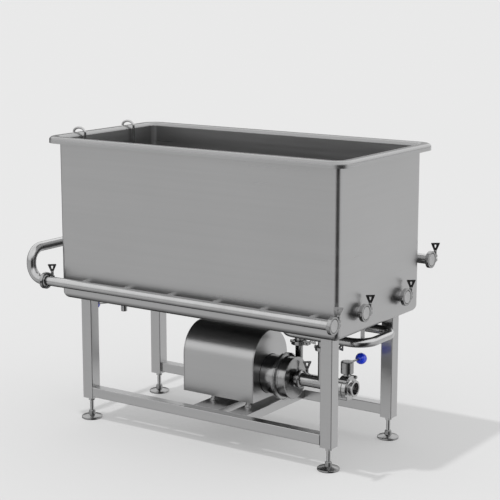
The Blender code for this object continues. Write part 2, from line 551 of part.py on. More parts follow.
# ---------------------------------------------------------------- small drain valve
small = lathe("small_drain", [(0.009, 0), (SMALL_R - 0.0015, 0), (SMALL_R, 0.0015), (SMALL_R, FLOOR_Z - GAP - SMALL_Z),
                              (0.009, FLOOR_Z - GAP - SMALL_Z)], 16, "tube", (SMALL_X, SMALL_Y, SMALL_Z), closed=True)
join(small, rod("small_boss", 0.008, 0.0105, 0.0195, 12, at=(SMALL_X, SMALL_Y, SMALL_STEM_Z), turn=TO_Y.inverted()))
cut(small, rod("small_stem_hole", 0.0045, 0.0, 0.03, 10, at=(SMALL_X, SMALL_Y, SMALL_STEM_Z), turn=TO_Y.inverted()))
pivot = (SMALL_X, SMALL_Y, SMALL_STEM_Z)
small_lever = rod("small_lever", 0.0042, 0.0, 0.0300, 10, "cast", pivot, TO_Y.inverted())
join(small_lever, rod("small_hub", 0.0095, 0.0215, 0.0325, 14, at=pivot, turn=TO_Y.inverted()),
     lathe("small_gate", rod_profile(0.0080, -0.0015, 0.0015), 14, at=pivot))
ball = Vector(SMALL_KNOB)
start = Vector((SMALL_X, ball.y, SMALL_STEM_Z))
aim = ball - start
join(small_lever, pipe("small_arm", [start + aim * 0.03, start + aim * (1 - (KNOB_R + GAP) / aim.length)], 0.0035, ring=1))
knob("small_knob", tuple(ball))

# --------------------------------------------------------------------- hooked rods
HOOK_TURN, HOOK_RISE, HOOK_TOP = 0.0293, 0.0195, 1.1585
for side, where in ((-1, "front"), (1, "rear")):
    arch = [Vector((HOOK_X - HOOK_TURN + HOOK_TURN * math.cos(math.pi * k / 10), side * HOOK_Y,
                    HOOK_TOP + HOOK_RISE * math.sin(math.pi * k / 10))) for k in range(11)]
    path = [Vector((HOOK_X, side * HOOK_Y, HOOK_BOTTOM))] + arch
    pipe("hook_rod_" + where, path, HOOK_R, "tube", at=(HOOK_X, side * HOOK_Y, HOOK_BOTTOM))

for obj in list(PARTS.objects) + list(TOOLS.objects):
    obj.location = Vector(obj.location) + Vector(SHIFT)
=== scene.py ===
import json
import math

import bmesh
import bpy
from mathutils import Matrix, Vector

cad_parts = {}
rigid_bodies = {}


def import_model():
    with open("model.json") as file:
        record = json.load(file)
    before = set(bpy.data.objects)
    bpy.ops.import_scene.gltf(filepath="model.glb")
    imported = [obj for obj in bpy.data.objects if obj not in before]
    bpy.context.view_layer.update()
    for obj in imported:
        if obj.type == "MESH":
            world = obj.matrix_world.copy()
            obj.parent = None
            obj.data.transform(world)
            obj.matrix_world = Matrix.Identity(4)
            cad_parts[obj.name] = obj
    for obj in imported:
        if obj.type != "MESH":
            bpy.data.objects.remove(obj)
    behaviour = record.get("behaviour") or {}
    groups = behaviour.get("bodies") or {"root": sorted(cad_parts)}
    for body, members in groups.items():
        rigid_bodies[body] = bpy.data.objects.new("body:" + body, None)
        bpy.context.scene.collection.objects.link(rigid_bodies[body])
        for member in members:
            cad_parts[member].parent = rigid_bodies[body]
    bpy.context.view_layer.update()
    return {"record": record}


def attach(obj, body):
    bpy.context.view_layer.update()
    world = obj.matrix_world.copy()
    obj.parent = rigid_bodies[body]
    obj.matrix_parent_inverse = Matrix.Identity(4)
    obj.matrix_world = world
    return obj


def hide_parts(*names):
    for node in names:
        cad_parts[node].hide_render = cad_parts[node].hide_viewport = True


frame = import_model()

# ---------------------------------------------------------------- dimensions
SHIFT = (0.0446, -0.00275, 0.0)

GAP = 0.0003

WALL_X, WALL_Y = 0.645, 0.305      # half length and half width of the basin
WALL_R = 0.025                     # its upright corners
SHEET = 0.003
FLOOR_Z = 0.508                    # underside of the basin
RIM_Z = 1.159
RIM_OUT, RIM_SKIRT, RIM_R = 0.043, 0.025, 0.014
BOTTOM_R = 0.028

LEG_X, LEG_Y, LEG_S, LEG_Z = 0.5654, 0.2243, 0.050, 0.088
RAIL_Z0, RAIL_Z1, RAIL_W = 0.0960, 0.1366, 0.040
BARS = (("motor_bar_left", -0.061, 0.060), ("motor_bar_right", 0.108, 0.187))
PAD_R, SPINDLE_R = 0.042, 0.008

PUMP_Z = 0.250
SHROUD_R, SHROUD_Z, SHROUD_BOTTOM = 0.120, 0.304, 0.156
SHROUD_X0, SHROUD_X1 = -0.174, 0.160
STUDS = (-0.036, 0.129)

DRAIN_X, DRAIN_R, DRAIN_Z = 0.407, 0.0254, 0.388
VALVE_X = 0.508
KNOB_R = 0.0222

HEADER_R = 0.019
FRONT_Y, FRONT_Z, FRONT_X0, FRONT_X1 = -0.352, 0.582, -0.683, 0.6607
REAR_Y, REAR_Z, REAR_X1 = 0.352, 0.703, 0.674
BEND_X, BEND_R = -0.7584, 0.057
JETS = [-0.520 + 0.212 * k for k in range(6)]
JET_BORE = 0.0019                   # half width of each jet's hole through the wall

LOOP_R, LOOP_Z, RISER_X, RISER_Y = 0.0175, 0.447, 0.252, 0.065
LOOP_FRONT_Y, LOOP_X1, LOOP_REAR_Y, FEED_X = -0.065, 0.6235, 0.171, 0.220

NOZZLE_Y, NOZZLE_Z, NOZZLE_X1 = 0.155, 0.592, 0.676

SMALL_X, SMALL_Y, SMALL_R, SMALL_Z = -0.490, -0.100, 0.0125, 0.433
SMALL_STEM_Z = 0.477
SMALL_KNOB = (-0.6216, -0.127, 0.4515)

HOOK_X, HOOK_Y, HOOK_R, HOOK_BOTTOM = -0.6315, 0.155, 0.005, 0.560

FINE = 3                            # how much finer than the frame's solids the curves are cut

PARTS = bpy.data.collections.new("wash_tank_skin")
TOOLS = bpy.data.collections.new("wash_tank_cutters")
bpy.context.scene.collection.children.link(PARTS)
bpy.context.scene.collection.children.link(TOOLS)
BODY_OF = {node: body for body, nodes in frame["record"]["behaviour"]["bodies"].items() for node in nodes}
PIECES = {}                         # piece name -> (object, finish, CAD node that it stands for or None, body)

TO_X = Matrix.Rotation(math.radians(90), 4, "Y")     # z -> x
TO_Y = Matrix.Rotation(math.radians(-90), 4, "X")    # z -> y


def put(name, mesh, finish=None, at=(0, 0, 0), smooth=True, body=None):
    """An object from a mesh: a piece when it has a finish, otherwise a helper that is removed at the end.
    A piece that has a CAD node's name stands for that node; any other piece is added detail."""
    obj = bpy.data.objects.new(name + "_skin" if finish else name, mesh)
    obj.location = at
    if finish:
        PARTS.objects.link(obj)
        node = name if name in BODY_OF else None
        PIECES[obj.name] = (obj, finish, node, body or BODY_OF.get(name, "tank"))
    else:
        TOOLS.objects.link(obj)
    if smooth:
        mesh.shade_smooth()
        mesh.set_sharp_from_angle(angle=math.radians(32))
    return obj


def to_mesh(name, bm, turn=None):
    bmesh.ops.remove_doubles(bm, verts=bm.verts, dist=1e-6)
    bmesh.ops.recalc_face_normals(bm, faces=bm.faces)
    if turn is not None:
        bm.transform(turn)
    mesh = bpy.data.meshes.new(name)
    bm.to_mesh(mesh)
    bm.free()
    return mesh


def add_lathe(bm, profile, seg, closed=False, turn=None, phase=0.0):
    """Spins (radius, height) points about z. A closed profile gives a ring."""
    seg = seg if seg <= 6 else seg * FINE
    points = [bm.verts.new((r, 0, z)) for r, z in profile]
    pairs = list(zip(points, points[1:])) + ([(points[-1], points[0])] if closed else [])
    edges = [bm.edges.new(pair) for pair in pairs if pair[0].co.x or pair[1].co.x]
    before = set(bm.verts) - set(points)
    if phase:
        bmesh.ops.rotate(bm, verts=points, cent=(0, 0, 0), matrix=Matrix.Rotation(phase, 3, "Z"))
    bmesh.ops.spin(bm, geom=points + edges, axis=(0, 0, 1), cent=(0, 0, 0), angle=math.tau, steps=seg, use_merge=True)
    made = [v for v in bm.verts if v not in before]
    if turn is not None:
        bmesh.ops.transform(bm, matrix=turn, verts=made)
    return made


def lathe(name, profile, seg, finish=None, at=(0, 0, 0), turn=None, closed=False, phase=0.0):
    bm = bmesh.new()
    add_lathe(bm, profile, seg, closed, turn, phase)
    return put(name, to_mesh(name, bm), finish, at)


def rod_profile(r, z0, z1):
    return [(0, z0), (r, z0), (r, z1), (0, z1)]


def ring_profile(r0, r1, z0, z1, ease=0.0):
    if ease:
        return [(r0, z0), (r1 - ease, z0), (r1, z0 + ease), (r1, z1 - ease), (r1 - ease, z1), (r0, z1)]
    return [(r0, z0), (r1, z0), (r1, z1), (r0, z1)]


def rod(name, r, z0, z1, seg=12, finish=None, at=(0, 0, 0), turn=None, phase=0.0):
    return lathe(name, rod_profile(r, z0, z1), seg, finish, at, turn, phase=phase)


def add_box(bm, x0, x1, y0, y1, z0, z1):
    centre = Matrix.Translation(((x0 + x1) / 2, (y0 + y1) / 2, (z0 + z1) / 2))
    size = Matrix.Diagonal((x1 - x0, y1 - y0, z1 - z0, 1))
    bmesh.ops.create_cube(bm, size=1, matrix=centre @ size)


def box(name, x0, x1, y0, y1, z0, z1, finish=None):
    bm = bmesh.new()
    add_box(bm, x0, x1, y0, y1, z0, z1)
    return put(name, to_mesh(name, bm), finish, smooth=False)


def prism(name, outline, z0, z1, finish=None, at=(0, 0, 0), turn=None, smooth=False):
    """A flat outline pushed up from z0 to z1, then turned."""
    bm = bmesh.new()
    face = bm.faces.new([bm.verts.new((x, y, z0)) for x, y in outline])
    top = bmesh.ops.extrude_face_region(bm, geom=[face])["geom"]
    bmesh.ops.translate(bm, verts=[g for g in top if isinstance(g, bmesh.types.BMVert)], vec=(0, 0, z1 - z0))
    return put(name, to_mesh(name, bm, turn), finish, at, smooth)


def rounded(hx, hy, r, steps):
    """Corner-rounded rectangle, counter-clockwise, steps per corner."""
    points, steps = [], steps * FINE
    for cx, cy, start in ((hx - r, hy - r, 0), (r - hx, hy - r, 90), (r - hx, r - hy, 180), (hx - r, r - hy, 270)):
        for k in range(steps + 1):
            a = math.radians(start + 90 * k / steps)
            points.append((cx + r * math.cos(a), cy + r * math.sin(a)))
    return points


def join(target, *helpers, how="UNION"):
    for helper in helpers:
        step = target.modifiers.new(helper.name, "BOOLEAN")
        step.operation = how
        step.solver = "EXACT"
        step.object = helper
    return target


def cut(target, *helpers):
    return join(target, *helpers, how="DIFFERENCE")


def bundle(*helpers):
    """One helper from several that stand apart, so that one Boolean takes them together."""
    bm = bmesh.new()
    for helper in helpers:
        before = set(bm.verts)
        bm.from_mesh(helper.data)
        bmesh.ops.translate(bm, verts=[v for v in bm.verts if v not in before], vec=helper.location)
        bpy.data.objects.remove(helper, do_unlink=True)
    mesh = bpy.data.meshes.new("bundle")
    bm.to_mesh(mesh)
    bm.free()
    return put("bundle", mesh)


def path_of(corners, radii, steps=5):
    """Straight runs with arcs of these radii at the inner corners."""
    corners = [Vector(c) for c in corners]
    points, steps = [corners[0]], steps * FINE
    for before, corner, after, radius in zip(corners, corners[1:], corners[2:], radii):
        a, b = (before - corner).normalized(), (after - corner).normalized()
        half = a.angle(b) / 2
        centre = corner + (a + b).normalized() * (radius / math.sin(half))
        start = corner + a * (radius / math.tan(half)) - centre
        end = corner + b * (radius / math.tan(half)) - centre
        axis, sweep = start.cross(end), start.angle(end)
        for k in range(steps + 1):
            points.append(centre + Matrix.Rotation(sweep * k / steps, 3, axis) @ start)
    return points + [corners[-1]]


def pipe(name, points, r, finish=None, wall=None, at=(0, 0, 0), ring=2):
    """A bevelled wire made into a mesh: hollow and open-ended with a wall, otherwise solid."""
    curve = bpy.data.curves.new(name + "_wire", "CURVE")
    curve.dimensions = "3D"
    curve.bevel_depth = r
    curve.bevel_resolution = ring * FINE + 2
    curve.use_fill_caps = wall is None
    spline = curve.splines.new("POLY")
    spline.points.add(len(points) - 1)
    for node, p in zip(spline.points, points):
        node.co = (*(Vector(p) - Vector(at)), 1)
    wire = bpy.data.objects.new(name + "_wire", curve)
    TOOLS.objects.link(wire)
    bpy.context.view_layer.update()
    made = bpy.data.meshes.new_from_object(wire.evaluated_get(bpy.context.evaluated_depsgraph_get()))
    bpy.data.objects.remove(wire, do_unlink=True)
    bm = bmesh.new()
    bm.from_mesh(made)
    bmesh.ops.remove_doubles(bm, verts=bm.verts, dist=1e-6)
    if wall is None:
        bmesh.ops.recalc_face_normals(bm, faces=bm.faces)
    bm.to_mesh(made)
    bm.free()
    made.name = name
    made.materials.clear()
    obj = put(name, made, finish, at)
    if wall:
        skin = obj.modifiers.new("wall", "SOLIDIFY")
        skin.thickness = wall
        skin.offset = -1
        skin.use_rim = True
    return obj


# ------------------------------------------------------------------------ basin
def arc(cx, cz, r, a0, a1, steps):
    steps *= FINE
    for k in range(steps + 1):
        a = math.radians(a0 + (a1 - a0) * k / steps)
        yield cx + r * math.cos(a), cz + r * math.sin(a)


def basin_section():
    """(outward offset from the wall, height) down the outside and back up the inside."""
    t, b, r = SHEET, BOTTOM_R, RIM_R
    zc = RIM_Z - r
    section = list(arc(-b, FLOOR_Z + b, b, -90, 0, 4))
    section += list(arc(r - t, zc, r - t, 180, 90, 2))
    section += list(arc(RIM_OUT - r, zc, r - t, 90, 0, 2))
    section += [(RIM_OUT - t, RIM_Z - RIM_SKIRT), (RIM_OUT, RIM_Z - RIM_SKIRT)]
    section += list(arc(RIM_OUT - r, zc, r, 0, 90, 3))
    section += list(arc(r - t, zc, r, 90, 180, 3))
    section += list(arc(-b, FLOOR_Z + b, b - t, 0, -90, 4))
    return section


bm = bmesh.new()
rings = []
for offset, z in basin_section():
    outline = rounded(WALL_X + offset, WALL_Y + offset, max(WALL_R + offset, 0.003), 4)
    rings.append([bm.verts.new((x, y, z)) for x, y in outline])
for low, high in zip(rings, rings[1:]):
    for k in range(len(low)):
        n = (k + 1) % len(low)
        bm.faces.new((low[k], low[n], high[n], high[k]))
bm.faces.new(rings[0])
bm.faces.new(rings[-1])
basin = put("tank_basin", to_mesh("tank_basin", bm), "satin")

drain_z = DRAIN_Z + GAP / 2
nozzle_end = NOZZLE_X1 - 0.0065 - GAP
lathe("drain_neck", [(DRAIN_R - 0.002, drain_z), (0.031, drain_z), (0.031, drain_z + 0.003), (DRAIN_R, drain_z + 0.006),
                     (DRAIN_R, FLOOR_Z - GAP), (DRAIN_R - 0.002, FLOOR_Z - GAP)], 20, "satin", (DRAIN_X, 0, 0), closed=True)
necks = []
bores = [rod("drain_bore", DRAIN_R - 0.002, 0.45, 0.55, 20, at=(DRAIN_X, 0, 0)),
         rod("small_bore", 0.009, 0.45, 0.55, 12, at=(SMALL_X, SMALL_Y, 0))]
for side in (-1, 1):
    at = (0, side * NOZZLE_Y, NOZZLE_Z)
    necks.append(lathe("nozzle_neck", [(0, WALL_X - 0.0015), (HEADER_R, WALL_X - 0.0015), (HEADER_R, nozzle_end - 0.006),
                                       (0.0252, nozzle_end - 0.003), (0.0252, nozzle_end), (0, nozzle_end)], 20,
                       at=at, turn=TO_X))
    bores.append(rod("nozzle_bore", HEADER_R - 0.0017, 0.60, 0.70, 20, at=at, turn=TO_X))
bores += [rod("jet_hole", JET_BORE, side * WALL_Y - 0.01, side * WALL_Y + 0.01, 6, at=(x, 0, z), turn=TO_Y)
          for x in JETS for side, z in ((-1, FRONT_Z), (1, REAR_Z))]
join(basin, bundle(*necks))
cut(basin, bundle(*bores))

# ------------------------------------------------------------------------ frame
for sx, across in ((-1, "left"), (1, "right")):
    for sy, depth in ((-1, "front"), (1, "rear")):
        at = (sx * LEG_X, sy * LEG_Y, 0)
        key = depth + "_" + across
        h = LEG_S / 2
        leg = prism("leg_" + key, rounded(h, h, 0.004, 2), LEG_Z, FLOOR_Z - GAP, "satin", at)
        cut(leg, prism("leg_hollow", rounded(h - 0.002, h - 0.002, 0.002, 1), LEG_Z + 0.006, FLOOR_Z + 0.02, at=at),
            rod("leg_hole", SPINDLE_R + GAP, LEG_Z - 0.01, LEG_Z + 0.02, 12, at=at))
        spindle = rod("foot_spindle_" + key, SPINDLE_R, 0.0125, 0.132, 12, "tube", at)
        join(spindle, rod("foot_nut", 0.0135, LEG_Z - 0.0125, LEG_Z - GAP, 6, at=at))
        pad = lathe("foot_pad_" + key, [(0, 0), (PAD_R - 0.002, 0), (PAD_R, 0.002), (PAD_R, 0.0075),
                                        (PAD_R - 0.0025, 0.0095), (0.0150, 0.0155), (0.0125, 0.030), (0.0110, 0.0325),
                                        (SPINDLE_R + GAP, 0.0325), (SPINDLE_R + GAP, 0.0122), (0, 0.0122)],
                    18, "tube", at)

inner = LEG_X - LEG_S / 2 - GAP
for sy, depth in ((-1, "front"), (1, "rear")):
    yc, zc = sy * (LEG_Y + LEG_S / 2 - RAIL_W / 2), (RAIL_Z0 + RAIL_Z1) / 2
    hy, hz = RAIL_W / 2, (RAIL_Z1 - RAIL_Z0) / 2
    rail = prism("rail_" + depth, rounded(hz, hy, 0.003, 2), -inner, inner, "satin", (0, yc, zc), TO_X)
    cut(rail, prism("rail_hollow", rounded(hz - 0.002, hy - 0.002, 0.001, 1), -0.7, 0.7, at=(0, yc, zc), turn=TO_X))

reach = LEG_Y + LEG_S / 2 - RAIL_W - GAP
for name, x0, x1 in BARS:
    bar = box(name, x0, x1, -reach, reach, RAIL_Z1 - 0.035, RAIL_Z1, "satin")
    cut(bar, box("bar_hollow", x0 + 0.004, x1 - 0.004, -0.3, 0.3, 0, RAIL_Z1 - 0.004))


# ------------------------------------------------------------- clamps, caps, nuts
ALONG_X = Matrix.Identity(4)
ALONG_Z = Matrix(((0, 1, 0, 0), (0, 0, 1, 0), (1, 0, 0, 0), (0, 0, 0, 1)))  # ring about z, ears at +x, bolt along y


def clamp(name, at, r_flange, r_ring, reach, ways=ALONG_X, width=0.014):
    """A two-eared clamp ring about its local x axis, with the bolt that pulls its ears together."""
    bm = bmesh.new()
    add_lathe(bm, ring_profile(r_flange + 2 * GAP, r_ring, -width / 2, width / 2), 20, True, TO_X)
    ring = put(name, to_mesh(name, bm, ways), "cast", at)
    near = r_flange + 0.0012
    bm = bmesh.new()
    add_box(bm, -0.006, 0.006, near, reach + 0.008, 0.002, 0.0125)
    add_box(bm, -0.006, 0.006, near, reach + 0.008, -0.0125, -0.002)
    add_box(bm, -0.0055, 0.0055, -r_ring - 0.0075, 0.002 - r_ring, -0.005, 0.005)
    ears = put("clamp_ears", to_mesh("clamp_ears", bm, ways), at=at, smooth=False)
    bm = bmesh.new()
    add_lathe(bm, [(0, -0.0165), (0.005, -0.0165), (0.005, -0.012), (0.003, -0.0119), (0.003, 0.0265), (0, 0.0265)], 8)
    bmesh.ops.translate(bm, verts=bm.verts, vec=(0, reach, 0))
    bolt = put("clamp_bolt", to_mesh("clamp_bolt", bm, ways), at=at)
    return join(ring, ears, bolt)


def wing_nut(name, at, reach, ways=ALONG_X, turn=0.0):
    """A flat fan on a hub, turned about the clamp's bolt. The origin is on the bolt's axis."""
    pivot = Vector(at) + ways.to_3x3() @ Vector((0, reach, 0))
    ways = ways @ Matrix.Rotation(math.radians(turn), 4, "Z")
    bm = bmesh.new()
    add_lathe(bm, [(0.0033, 0.0128), (0.0060, 0.0128), (0.0060, 0.0265), (0.0045, 0.0300), (0, 0.0300), (0, 0.0270),
                   (0.0033, 0.0270)], 12, closed=True)
    hub = put(name, to_mesh(name, bm, ways), "cast", pivot)
    fan = [(-0.0045, 0.0275), (0.0045, 0.0275), (0.0172, 0.0570), (0.0160, 0.0600), (-0.0160, 0.0600), (-0.0172, 0.0570)]
    bm = bmesh.new()
    face = bm.faces.new([bm.verts.new((x, -0.0016, z)) for x, z in fan])
    top = bmesh.ops.extrude_face_region(bm, geom=[face])["geom"]
    bmesh.ops.translate(bm, verts=[g for g in top if isinstance(g, bmesh.types.BMVert)], vec=(0, 0.0032, 0))
    plate = put("fan_plate", to_mesh("fan_plate", bm, ways), at=pivot, smooth=False)
    window = [(-0.0018, 0.0410), (0.0018, 0.0410), (0.0042, 0.0525), (-0.0042, 0.0525)]
    bm = bmesh.new()
    face = bm.faces.new([bm.verts.new((x, -0.006, z)) for x, z in window])
    top = bmesh.ops.extrude_face_region(bm, geom=[face])["geom"]
    bmesh.ops.translate(bm, verts=[g for g in top if isinstance(g, bmesh.types.BMVert)], vec=(0, 0.012, 0))
    hole = put("fan_window", to_mesh("fan_window", bm, ways), at=pivot, smooth=False)
    join(hub, plate)
    return cut(hub, hole)


def blank_cap(name, x1, y, z):
    """A blind cap whose outer face is at x1."""
    lathe(name, [(0, -0.0065), (0.0252, -0.0065), (0.0252, -0.0035), (0.0235, -0.0020), (0.0235, 0), (0, 0)], 24,
          "tube", (x1, y, z), TO_X)


SMALL_RING, SMALL_REACH = (0.0252, 0.033), 0.038
LARGE_RING, LARGE_REACH = (0.031, 0.0365), 0.0465


def small_clamp(where, at):
    clamp(where + "_clamp", at, *SMALL_RING, SMALL_REACH)
    wing_nut(where + "_wing_nut", at, SMALL_REACH, turn=16.0 if where == "front_cap" else 40.0)


small_clamp("bend", (FRONT_X0, FRONT_Y, FRONT_Z))
small_clamp("front_cap", (FRONT_X1 - 0.0065, FRONT_Y, FRONT_Z))
small_clamp("rear_cap", (REAR_X1 - 0.0065, REAR_Y, REAR_Z))
blank_cap("front_cap", FRONT_X1, FRONT_Y, FRONT_Z)
blank_cap("rear_cap", REAR_X1, REAR_Y, REAR_Z)
for side, where in ((-1, "nozzle_front"), (1, "nozzle_rear")):
    small_clamp(where, (NOZZLE_X1 - 0.0065, side * NOZZLE_Y, NOZZLE_Z))
    blank_cap(where + "_cap", NOZZLE_X1, side * NOZZLE_Y, NOZZLE_Z)

SUCTION_X = 0.3005
clamp("suction_clamp", (SUCTION_X, 0, PUMP_Z), *LARGE_RING, LARGE_REACH)
wing_nut("suction_wing_nut", (SUCTION_X, 0, PUMP_Z), LARGE_REACH, turn=40.0)
clamp("drain_clamp", (DRAIN_X, 0, DRAIN_Z), *LARGE_RING, LARGE_REACH, ALONG_Z)
wing_nut("drain_wing_nut", (DRAIN_X, 0, DRAIN_Z), LARGE_REACH, ALONG_Z)
RISER_CLAMP = 0.3755
clamp("riser_clamp", (RISER_X, RISER_Y, RISER_CLAMP), 0.0252, 0.0315, 0.038, ALONG_Z)
wing_nut("riser_wing_nut", (RISER_X, RISER_Y, RISER_CLAMP), 0.038, ALONG_Z)


# ---------------------------------------------------------------- headers and bend
def ferruled(r, r_flange, z0, z1, low=True, high=True):
    """Profile of a solid pipe from z0 to z1 with a tapered flange on either end."""
    start = [(0, z0), (r_flange, z0), (r_flange, z0 + 0.003), (r, z0 + 0.006)] if low else [(0, z0), (r, z0)]
    finish = [(r, z1 - 0.006), (r_flange, z1 - 0.003), (r_flange, z1), (0, z1)] if high else [(r, z1), (0, z1)]
    return start + finish


front_end = FRONT_X1 - 0.0065 - GAP
front = lathe("front_header", ferruled(HEADER_R, 0.0252, FRONT_X0 + GAP / 2, front_end), 16, "tube",
              (0, FRONT_Y, FRONT_Z), TO_X)
join(front, bundle(*[rod("jet", 0.012, 0.008, -FRONT_Y - WALL_Y - GAP, 10, at=(x, FRONT_Y, FRONT_Z), turn=TO_Y) for x in JETS]))
cut(front, rod("front_bore", HEADER_R - 0.0016, FRONT_X0 - 0.05, front_end + 0.05, 16, at=(0, FRONT_Y, FRONT_Z), turn=TO_X))
cut(front, bundle(*[rod("jet_bore", 0.0088, 0.004, 0.060, 10, at=(x, FRONT_Y, FRONT_Z), turn=TO_Y) for x in JETS]))

rear_end = REAR_X1 - 0.0065 - GAP
rear_start = BEND_X + BEND_R + 0.010
rear = lathe("rear_header", ferruled(HEADER_R, 0.0252, rear_start, rear_end, low=False), 16, "tube",
             (0, REAR_Y, REAR_Z), TO_X)
join(rear, bundle(*[rod("jet", 0.012, 0.008, REAR_Y - WALL_Y - GAP, 10, at=(x, REAR_Y, REAR_Z), turn=TO_Y.inverted()) for x in JETS]))
cut(rear, rod("rear_bore", HEADER_R - 0.0016, -0.8, 0.8, 16, at=(0, REAR_Y, REAR_Z), turn=TO_X))

bend_start = FRONT_X0 - GAP / 2
bend_path = path_of([(bend_start - 0.003, FRONT_Y, FRONT_Z), (BEND_X, FRONT_Y, FRONT_Z), (BEND_X, FRONT_Y, REAR_Z),
                     (BEND_X, REAR_Y, REAR_Z), (rear_start - GAP, REAR_Y, REAR_Z)], [BEND_R] * 3)
bend = pipe("left_bend", bend_path, HEADER_R, "tube", wall=0.0016)
join(bend, lathe("bend_ferrule", ring_profile(HEADER_R - 0.001, 0.0252, -0.0035, 0)[:2] + [(0.0252, 0), (HEADER_R - 0.001, 0)],
                 20, at=(bend_start, FRONT_Y, FRONT_Z), turn=TO_X, closed=True))

# --------------------------------------------------------------- motor and shroud
def d_outline(grow):
    r, steps = SHROUD_R + grow, 20 * FINE
    points = [(-(SHROUD_BOTTOM - grow), -r), (-(SHROUD_BOTTOM - grow), r)]
    return points + [(-(SHROUD_Z + r * math.sin(math.pi * k / steps)), r * math.cos(math.pi * k / steps)) for k in range(steps + 1)]


shroud = prism("motor_shroud", d_outline(0), SHROUD_X0, SHROUD_X1, "satin", turn=TO_X, smooth=True)
join(shroud, bundle(*[rod("shroud_stud", 0.009, RAIL_Z1 + GAP, SHROUD_BOTTOM + 0.001, 10, at=(x, side * 0.108, 0))
                      for x in STUDS for side in (-1, 1)]))
cut(shroud, prism("shroud_hollow", d_outline(-0.0025), SHROUD_X0 + 0.0025, SHROUD_X1 - 0.0025, turn=TO_X),
    rod("shroud_hole", 0.0785, SHROUD_X1 - 0.01, SHROUD_X1 + 0.01, 28, at=(0, 0, PUMP_Z), turn=TO_X))

motor_foot = SHROUD_BOTTOM + 0.0025 + GAP
motor = rod("pump_motor", 0.080, -0.155, 0.1500, 24, "dark", (0, 0, PUMP_Z), TO_X)
join(motor, box("motor_feet", -0.100, 0.100, -0.065, 0.065, motor_foot, PUMP_Z - 0.060))
cut(motor, rod("motor_bore", 0.0125, 0.080, 0.16, 12, at=(0, 0, PUMP_Z), turn=TO_X))

# --------------------------------------------------------------------------- pump
FLANGE_X = 0.2285
lathe("pump_adapter", [(0.0765, 0.1503), (0.0765, 0.2215), (0.092, 0.2225), (0.092, FLANGE_X), (0.0135, FLANGE_X),
                       (0.0135, 0.2210), (0.062, 0.2210), (0.062, 0.1503)], 24, "cast", (0, 0, PUMP_Z), TO_X, closed=True)
COVER_X = 0.2720
casing = lathe("pump_casing", [(0.092, FLANGE_X + GAP), (0.092, 0.2345), (0.081, 0.2365), (0.080, COVER_X - GAP),
                               (0.074, COVER_X - GAP), (0.074, FLANGE_X + GAP)], 24, "cast", (0, 0, PUMP_Z), TO_X, closed=True)
riser_end = RISER_CLAMP - GAP / 2 - PUMP_Z
join(casing, lathe("riser_neck", [(0, 0.025), (0.0150, 0.025), (0.0150, riser_end - 0.012), (HEADER_R, riser_end - 0.008),
                                  (0.0252, riser_end - 0.003), (0.0252, riser_end), (0, riser_end)], 16,
                   at=(RISER_X, RISER_Y, PUMP_Z)))
cut(casing, rod("riser_bore", 0.0130, 0.010, 0.2, 14, at=(RISER_X, RISER_Y - 0.003, PUMP_Z)))
suction_face = SUCTION_X - GAP / 2
lathe("pump_cover", [(0.0235, COVER_X), (0.080, COVER_X), (0.0825, 0.2735), (0.0825, 0.2775), (0.080, 0.2790), (0.034, 0.2800),
                     (DRAIN_R, 0.2850), (DRAIN_R, suction_face - 0.006), (0.031, suction_face - 0.003),
                     (0.031, suction_face), (0.0235, suction_face)], 22, "cast", (0, 0, PUMP_Z), TO_X, closed=True)
shaft = lathe("pump_impeller", [(0, 0.086), (0.012, 0.086), (0.012, 0.2315), (0.045, 0.2335), (0.045, 0.2375), (0.016, 0.2400),
                                (0.012, 0.2560), (0, 0.2580)], 16, "tube", (0, 0, PUMP_Z), TO_X)
bm = bmesh.new()
for k in range(4):
    a = math.radians(90 * k + 20)
    spread = [((0.010, -0.0015), (0.0445, 0.008), (0.042, 0.010), (0.012, 0.0025))]
    for blade in spread:
        flat = [(x * math.cos(a) - y * math.sin(a), x * math.sin(a) + y * math.cos(a)) for x, y in blade]
        face = bm.faces.new([bm.verts.new((x, y, 0.2360)) for x, y in flat])
        top = bmesh.ops.extrude_face_region(bm, geom=[face])["geom"]
        bmesh.ops.translate(bm, verts=[g for g in top if isinstance(g, bmesh.types.BMVert)], vec=(0, 0, 0.018))
join(shaft, put("impeller_vanes", to_mesh("impeller_vanes", bm, TO_X), at=(0, 0, PUMP_Z), smooth=False))

# ------------------------------------------------------------------- suction tee
tee_start, tee_end = SUCTION_X + GAP / 2, 0.4650
tee = lathe("suction_tee", ferruled(DRAIN_R, 0.031, tee_start, tee_end, high=False), 24, "tube", (0, 0, PUMP_Z), TO_X)
join(tee, lathe("tee_branch", ferruled(DRAIN_R - 0.0008, 0.031, 0.002, DRAIN_Z - GAP / 2 - PUMP_Z, low=False), 24,
                at=(DRAIN_X, 0, PUMP_Z), phase=0.06))
cut(tee, rod("tee_bore", DRAIN_R - 0.002, tee_start - 0.02, tee_end + 0.02, 20, at=(0, 0, PUMP_Z), turn=TO_X),
    rod("tee_branch_bore", DRAIN_R - 0.0035, 0.004, 0.16, 18, at=(DRAIN_X, 0, PUMP_Z), phase=0.11))

